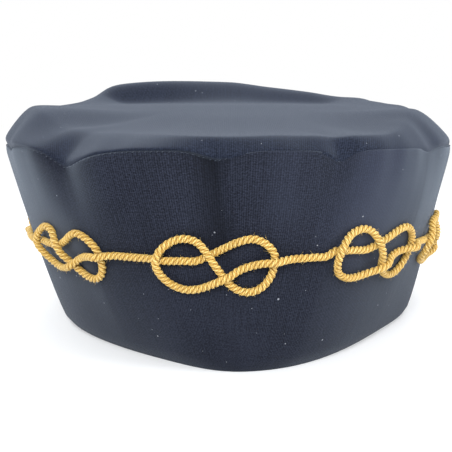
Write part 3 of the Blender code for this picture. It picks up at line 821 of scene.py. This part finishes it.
knotRoute = (  # along and up are shares of knotWidth and knotHeight; over is 1 on top of a crossing
    {"along": -0.50, "up": 0.04, "over": 0}, {"along": -0.40, "up": 0.03, "over": 0},
    {"along": -0.29, "up": 0.03, "over": 0}, {"along": -0.19, "up": 0.02, "over": 0},
    {"along": -0.11, "up": 0.07, "over": 0}, {"along": -0.03, "up": 0.14, "over": 0},
    {"along": 0.06, "up": 0.23, "over": 0}, {"along": 0.15, "up": 0.34, "over": 0},
    {"along": 0.26, "up": 0.41, "over": 0}, {"along": 0.36, "up": 0.33, "over": 0},
    {"along": 0.44, "up": 0.13, "over": 0}, {"along": 0.45, "up": -0.09, "over": 0},
    {"along": 0.43, "up": -0.31, "over": 0}, {"along": 0.37, "up": -0.49, "over": 0},
    {"along": 0.28, "up": -0.57, "over": 0}, {"along": 0.18, "up": -0.54, "over": 0},
    {"along": 0.09, "up": -0.42, "over": 0.1}, {"along": 0.03, "up": -0.24, "over": 0.45},
    {"along": -0.03, "up": -0.02, "over": 1}, {"along": -0.09, "up": 0.19, "over": 0.75},
    {"along": -0.16, "up": 0.36, "over": 0.1}, {"along": -0.26, "up": 0.43, "over": 0},
    {"along": -0.37, "up": 0.36, "over": 0.1}, {"along": -0.45, "up": 0.22, "over": 0.7},
    {"along": -0.49, "up": 0.03, "over": 1}, {"along": -0.48, "up": -0.20, "over": 0.6},
    {"along": -0.42, "up": -0.40, "over": 0.1}, {"along": -0.32, "up": -0.50, "over": 0},
    {"along": -0.21, "up": -0.50, "over": 0}, {"along": -0.10, "up": -0.43, "over": 0.3},
    {"along": 0.00, "up": -0.33, "over": 1}, {"along": 0.08, "up": -0.26, "over": 1},
    {"along": 0.17, "up": -0.16, "over": 0.2}, {"along": 0.27, "up": -0.08, "over": 0.1},
    {"along": 0.37, "up": -0.02, "over": 0.6}, {"along": 0.45, "up": 0.00, "over": 1},
    {"along": 0.52, "up": 0.02, "over": 0.5},
)


def wayRound():
    turn = np.linspace(-180.0, 180.0, 1441)
    line = bandBase(turn, cord["height"] / hat["height"])
    way = lengthsAlong(line, 0)
    return turn, way - np.interp(0.0, turn, way)


def bandNormal(turn, share):
    beside = bandBase(turn + 1.5, share) - bandBase(turn - 1.5, share)
    above = bandBase(turn, share + 0.02) - bandBase(turn, share - 0.02)
    return unit(np.cross(beside, above))


def loopAhead(line):
    return unit(np.roll(line, -1, 0) - np.roll(line, 1, 0))


def squareTo(ahead, direction):
    # direction, turned to stand at a right angle to ahead
    return unit(direction - ahead * (direction * ahead).sum(1, keepdims=True))


def smoothLoop(rows, steps):
    # a closed line on a smooth curve through its rows
    before, after, later = np.roll(rows, 1, 0), np.roll(rows, -1, 0), np.roll(rows, -2, 0)
    parts = []
    for t in np.arange(steps) / steps:
        parts.append(smoothBetween(before, rows, after, later, t))
    return np.stack(parts, 1).reshape(-1, rows.shape[1])


def cordRows():
    # the cord's way round, height and lift over the cloth, knot by knot
    turn, way = wayRound()
    length = way[-1] - way[0]
    rows = []
    places = list(knotPlaces) + [dict(knotPlaces[0], place=knotPlaces[0]["place"] + 1.0)]
    for here, following in zip(places, places[1:]):
        width = cord["knotWidth"] * here.get("size", 1.0)
        stretch = (following["place"] - here["place"]) * length / width - 1.0
        first, last = knotRoute[0], knotRoute[-1]
        between = np.linspace(last["along"], first["along"] + stretch + 1.0, 6)[1:-1]
        straight = [{"along": along, "up": last["up"], "over": 0} for along in between]
        for row in list(knotRoute) + straight:
            at = here["place"] * length + row["along"] * width
            share = (at / length - here["place"]) / (following["place"] - here["place"])
            level = here["level"] + (following["level"] - here["level"]) * share
            up = level * cord["height"] + row["up"] * cord["knotHeight"] * here.get("size", 1.0)
            rows.append((at, up, row["over"] * cord["lift"]))
    return np.array(rows), turn, way, length


def cordLine():
    rows, turn, way, length = cordRows()
    # the even way round is taken off before the smoothing and put back after, so that the loop closes
    rows[:, 0] -= np.arange(len(rows)) * length / len(rows)
    route = smoothLoop(rows, 12)
    route[:, 0] += np.arange(len(route)) * length / len(route)
    turns = np.interp((route[:, 0] - way[0]) % length + way[0], way, turn)
    share = route[:, 1] / seamHeight(turns)
    normal = bandNormal(turns, share)
    lift = np.clip(route[:, 2], 0.0, None)
    line = bandFace(turns, share) + normal * (cord["off"] + lift)[:, None]
    return line, normal


def makeCord():
    line, normal = cordLine()
    closed = np.concatenate([line, line[:1]])
    way = lengthsAlong(closed, 0)
    total = way[-1]
    turnsOfPly = round(total / cord["lay"])
    count = turnsOfPly * cord["stepsPerLay"]
    at = np.arange(count) * total / count
    centre = np.stack([np.interp(at, way, closed[:, k]) for k in range(3)], -1)
    normals = np.concatenate([normal, normal[:1]])
    up = np.stack([np.interp(at, way, normals[:, k]) for k in range(3)], -1)
    ahead = loopAhead(centre)
    up = squareTo(ahead, up)
    side = np.cross(ahead, up)
    vertices, faces, places = [], [], []
    sides = cord["sides"]
    for ply in range(cord["plies"]):
        angle = -2.0 * np.pi * (at * turnsOfPly / total + ply / cord["plies"])
        plyOut = np.cos(angle)[:, None] * up + np.sin(angle)[:, None] * side
        core = centre + cord["plyOff"] * plyOut
        plyAhead = loopAhead(core)
        plyOut = squareTo(plyAhead, plyOut)
        plySide = np.cross(plyAhead, plyOut)
        start = len(vertices)
        for k in range(sides):
            bend = 2.0 * np.pi * k / sides
            ring = core + cord["plyRadius"] * (math.cos(bend) * plyOut + math.sin(bend) * plySide)
            vertices.extend(ring.tolist())
        for k in range(sides):
            here = start + k * count
            beside = start + (k + 1) % sides * count
            low, high = k / sides, (k + 1) / sides
            for i in range(count):
                n = (i + 1) % count
                faces.append((here + i, here + n, beside + n, beside + i))
                a, b = at[i], at[i] + total / count
                places.extend(((a, low), (b, low), (b, high), (a, high)))
    thing = newPiece("goldCord", vertices, faces, "ply", places)
    thing.data.materials.append(cordFinish())
    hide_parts("gold_cord")
    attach(thing, "root")
    print("cord: %.3f m long, %d lays, %d triangles" % (total, turnsOfPly, 2 * len(faces)))
    return thing


def cordFinish():
    finish = Finish("goldThread")
    along, roundPly = finish.place("ply")
    yarn = ((along / cord["yarn"] + roundPly * 5.0) * (2.0 * math.pi)).sine()
    fibre = finish.noise(finish.point(along * 900.0, roundPly * 9.0), 1.0, 3.0, 0.6)
    broad = finish.noise(finish.point(along * 60.0, roundPly), 1.0, 2.0, 0.5)
    # painted shade on the inner side of each ply, towards the cord's core, and painted light on its outer
    # side
    plyOutsideLit = (roundPly * (2.0 * math.pi)).cosine()
    tone = finish.soft(fibre * 0.5 + broad * 0.2 + yarn * 0.10 + plyOutsideLit * 0.22, 0.22, 0.75)
    colour = finish.blend(tone, cord["darkFibreAndShade"], cord["gold"])
    # painted highlight on the palest fibres
    colour = finish.blend(finish.soft(tone, 0.70, 1.0) * 0.8, colour, cord["paleFibreAndHighlight"])
    relief = yarn * 0.5 + fibre
    finish.done(Sheen_Weight=0.25, Sheen_Roughness=0.5, Sheen_Tint=(1.0, 0.85, 0.5), Specular_IOR_Level=0.5)
    normal = finish.bump(relief, cord["relief"])
    return finish.done(Base_Color=colour, Roughness=0.5 - tone * 0.1, Normal=normal)


fuzz = {
    "hairs": 1500, "length": (0.0008, 0.0022), "radius": 0.000028, "curl": 0.6, "stand": 0.55,
    "spread": 1.9, "depth": 0.44,   # how far round the cord they start, and how far out in it
    "colour": (0.80, 0.58, 0.18),
}


def makeFuzz():
    # loose fibres that stand off the cord
    line, normal = cordLine()
    dice = np.random.default_rng(9)
    ahead = loopAhead(line)
    side = np.cross(ahead, normal)
    steps = np.linspace(0.0, 1.0, 4)[:, None]
    radii = fuzz["radius"] * np.array([1.0, 1.0, 0.9, 0.5])
    tubes = []
    for k in dice.integers(0, len(line), fuzz["hairs"]):
        angle = dice.uniform(-fuzz["spread"], fuzz["spread"])
        out = math.cos(angle) * normal[k] + math.sin(angle) * side[k]
        drift = ahead[k] * dice.uniform(-1.0, 1.0) + np.cross(out, ahead[k]) * dice.uniform(-0.7, 0.7)
        length = dice.uniform(*fuzz["length"])
        foot = line[k] + out * cord["diameter"] * fuzz["depth"]
        centre = foot + length * (out * steps * fuzz["stand"] + drift * steps**1.5 * fuzz["curl"])
        tubes.append(tube(centre, np.cross(out, ahead[k])[None, :].repeat(4, 0), radii, 3))
    look = Finish("looseFibre").done(Base_Color=fuzz["colour"], Roughness=0.6)
    return threadMesh("cordFuzz", tubes, look)


# floor

def makeFloor():
    bpy.ops.object.select_all(action="DESELECT")
    bpy.ops.mesh.primitive_circle_add(vertices=96, radius=6.0, fill_type="NGON", location=(0.0, 0.0, 0.0))
    floor = bpy.context.object
    floor.name = "floor"
    finish = Finish("paleFloor")
    where = finish.add("ShaderNodeTexCoord", None, None, 3)
    away = finish.add("ShaderNodeVectorMath", {"operation": "LENGTH"}, {0: where}, 1)
    far = finish.soft(away, studio["fadeFrom"], studio["fadeTo"])  # the floor turns into the pale wall
    tone = finish.noise(where, 3.0, 2.0)
    pale = studio["floorColour"]
    near = finish.blend(tone, tuple(0.98 * c for c in pale), pale)
    colour = finish.blend(far, near, (0.0, 0.0, 0.0))
    glow = finish.blend(far, (studio["floorGlow"],) * 3, studio["wallColour"])
    finish.done(Base_Color=colour, Roughness=0.9, Specular_IOR_Level=0.1)
    floor.data.materials.append(finish.done(Emission_Color=glow, Emission_Strength=1.0))
    return floor


makeCamera()
makeLights()
makeFloor()
print("studio ready")
makeBand()
makeTop()
makeStitches()
makeCord()
makeFuzz()
